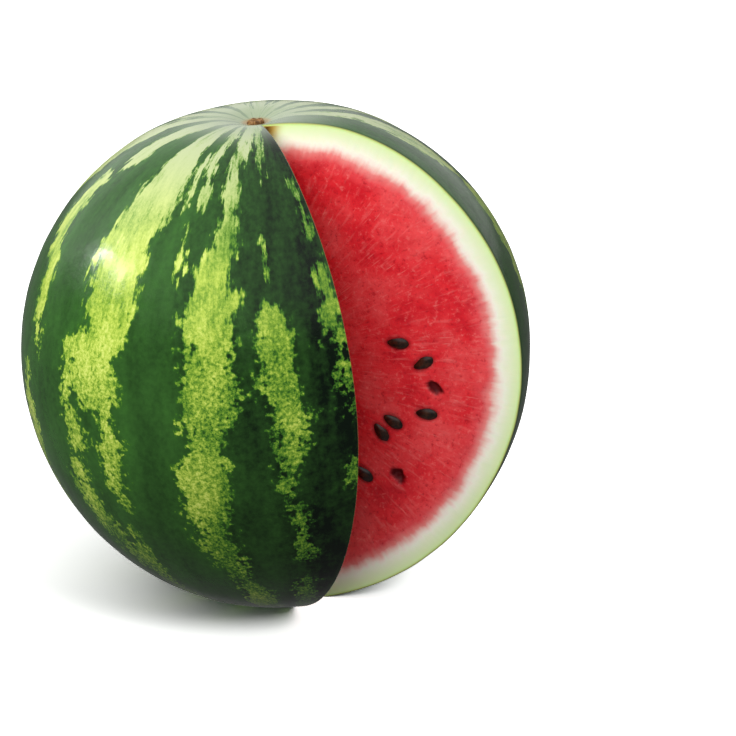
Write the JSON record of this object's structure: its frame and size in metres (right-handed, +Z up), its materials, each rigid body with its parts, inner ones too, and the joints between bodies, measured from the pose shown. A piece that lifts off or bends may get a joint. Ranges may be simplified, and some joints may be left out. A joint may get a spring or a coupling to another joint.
{
  "type": "watermelon",
  "caption": "Round striped watermelon standing on a small flat spot, with a wedge cut out from crown to foot that shows pale rind, red flesh and dark seeds.",
  "frame": {"origin": "on the surface the melon stands on, under the middle of its bounding box", "axes": "+Z up from the flat spot to the stem end, -Y towards the front, with the missing wedge at the front right towards +X"},
  "size_m": [0.2557, 0.256, 0.2482],
  "materials": {
    "rind": "waxy green skin with jagged light stripes, pale where it is cut",
    "flesh": "wet red grainy fruit flesh",
    "seed": "smooth dark brown seed coat",
    "stem": "dry corky stem"
  },
  "bodies": {
    "root": {"rind": "rind", "flesh": "flesh", "stem_button": "stem"}
  },
  "joints": []
}
